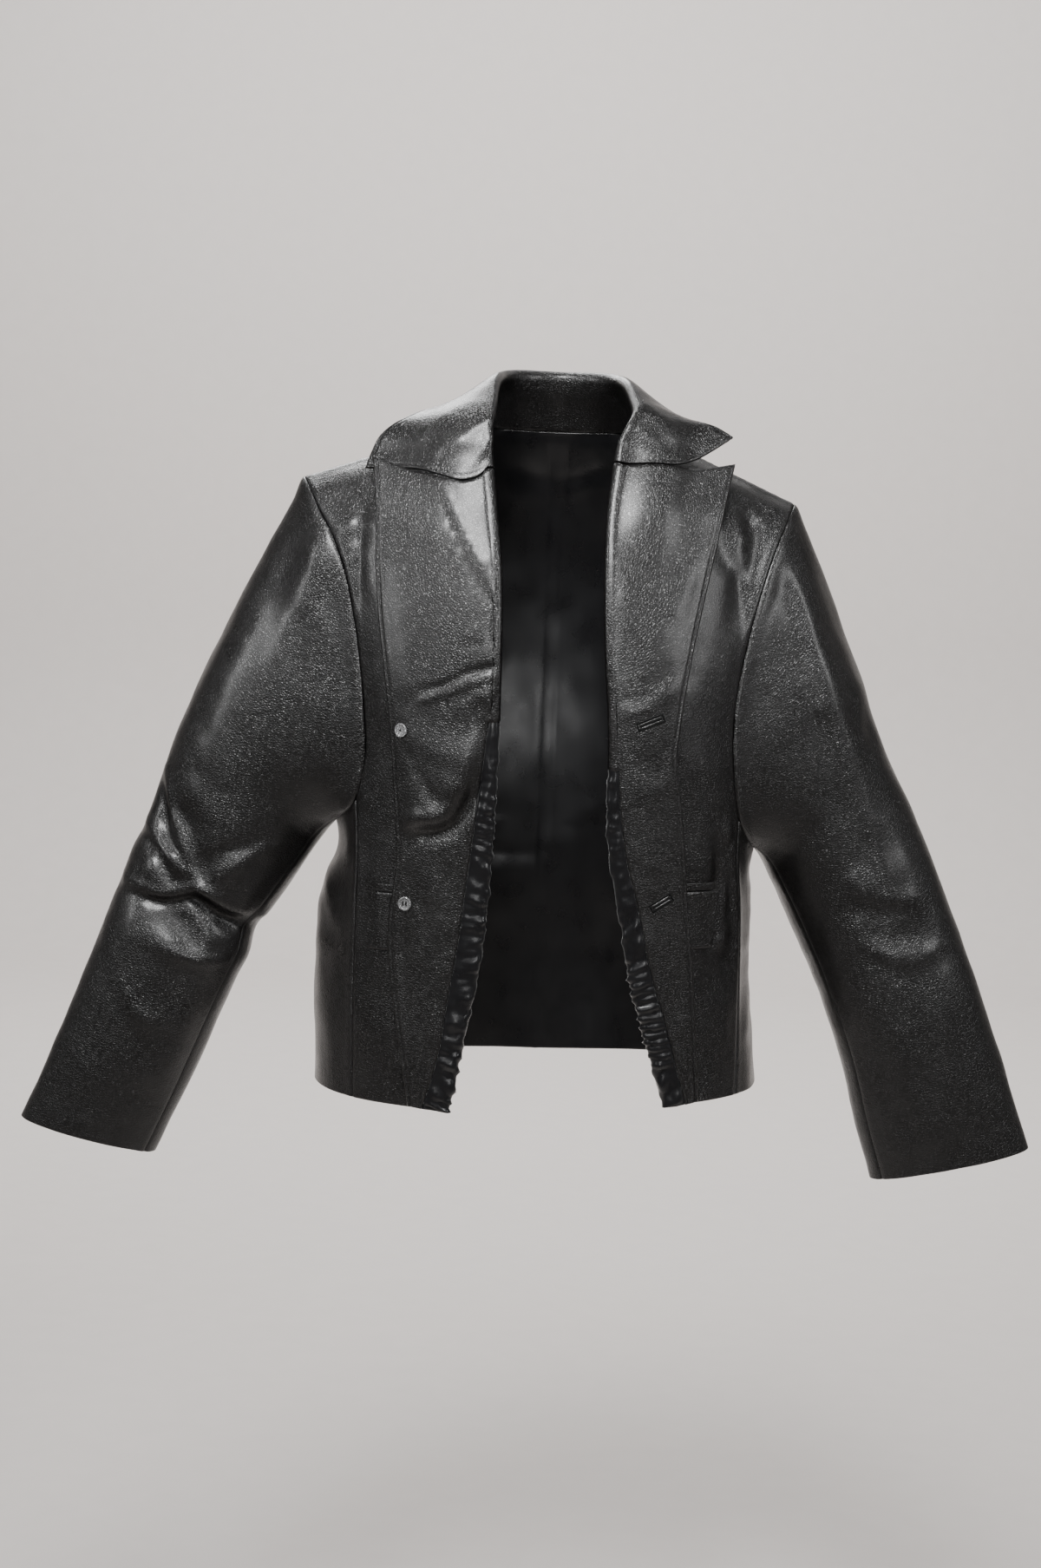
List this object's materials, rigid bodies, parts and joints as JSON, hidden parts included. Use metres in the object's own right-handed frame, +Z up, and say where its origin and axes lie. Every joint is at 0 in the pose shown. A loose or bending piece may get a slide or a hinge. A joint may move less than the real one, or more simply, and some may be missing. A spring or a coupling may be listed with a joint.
{
  "type": "faux leather blazer",
  "caption": "Man's black faux leather blazer, hollow and open as worn, with peaked lapels, both fronts turned back to the hem, flap pockets and two-piece sleeves.",
  "frame": {"origin": "on the centre line, at the height of the points where the shoulder seams meet the neck, under the shoulder line", "axes": "+Z up, -Y the way the wearer faces, +X towards the wearer's left arm"},
  "size_m": [1.0235, 0.2927, 0.8028],
  "materials": {
    "shell": "fine grained black polyurethane coated cloth, satin",
    "facing": "fine grained black polyurethane coated cloth, satin",
    "lining": "black polyester satin",
    "button": "black polyester resin, semi-gloss",
    "stay_button": "clear plastic, gloss"
  },
  "bodies": {
    "root": {"back": "shell", "front_right": "shell", "front_left": "shell", "side_right": "shell", "side_left": "shell", "sleeve_right_top": "shell", "sleeve_right_under": "shell", "sleeve_left_top": "shell", "sleeve_left_under": "shell", "collar": "shell", "under_collar": "shell", "welt_right": "shell", "welt_left": "shell", "flap_right": "shell", "flap_left": "shell", "facing_right": "facing", "facing_left": "facing", "lining_right": "lining", "lining_left": "lining", "button_upper": "button", "button_lower": "button", "stay_button_upper": "stay_button", "stay_button_lower": "stay_button"}
  },
  "joints": []
}
